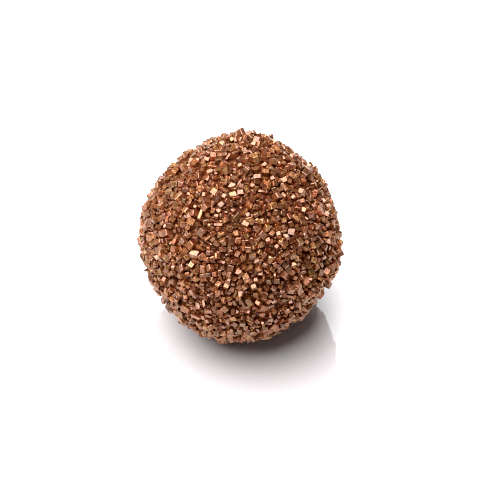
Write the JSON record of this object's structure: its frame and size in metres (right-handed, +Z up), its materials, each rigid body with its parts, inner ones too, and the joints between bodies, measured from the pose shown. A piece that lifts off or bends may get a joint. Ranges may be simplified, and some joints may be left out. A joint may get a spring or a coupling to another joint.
{
  "type": "chocolate truffle",
  "caption": "Round chocolate truffle coated all over in coarse bronze sugar crystals, resting on a small flat spot.",
  "frame": {"origin": "on the flat rest spot's plane, under the middle of the truffle's bounding box", "axes": "+Z up from the surface it rests on, -Y towards the side that the picture shows, +X to the right of that view"},
  "size_m": [0.0262, 0.0264, 0.0261],
  "materials": {
    "sugar_coat": "coarse sugar crystals with a bronze pearl lustre, glossy on their faces",
    "chocolate": "dark chocolate with a satin surface, seen in the gaps between the crystals"
  },
  "bodies": {
    "root": {"truffle": "sugar_coat"}
  },
  "joints": []
}
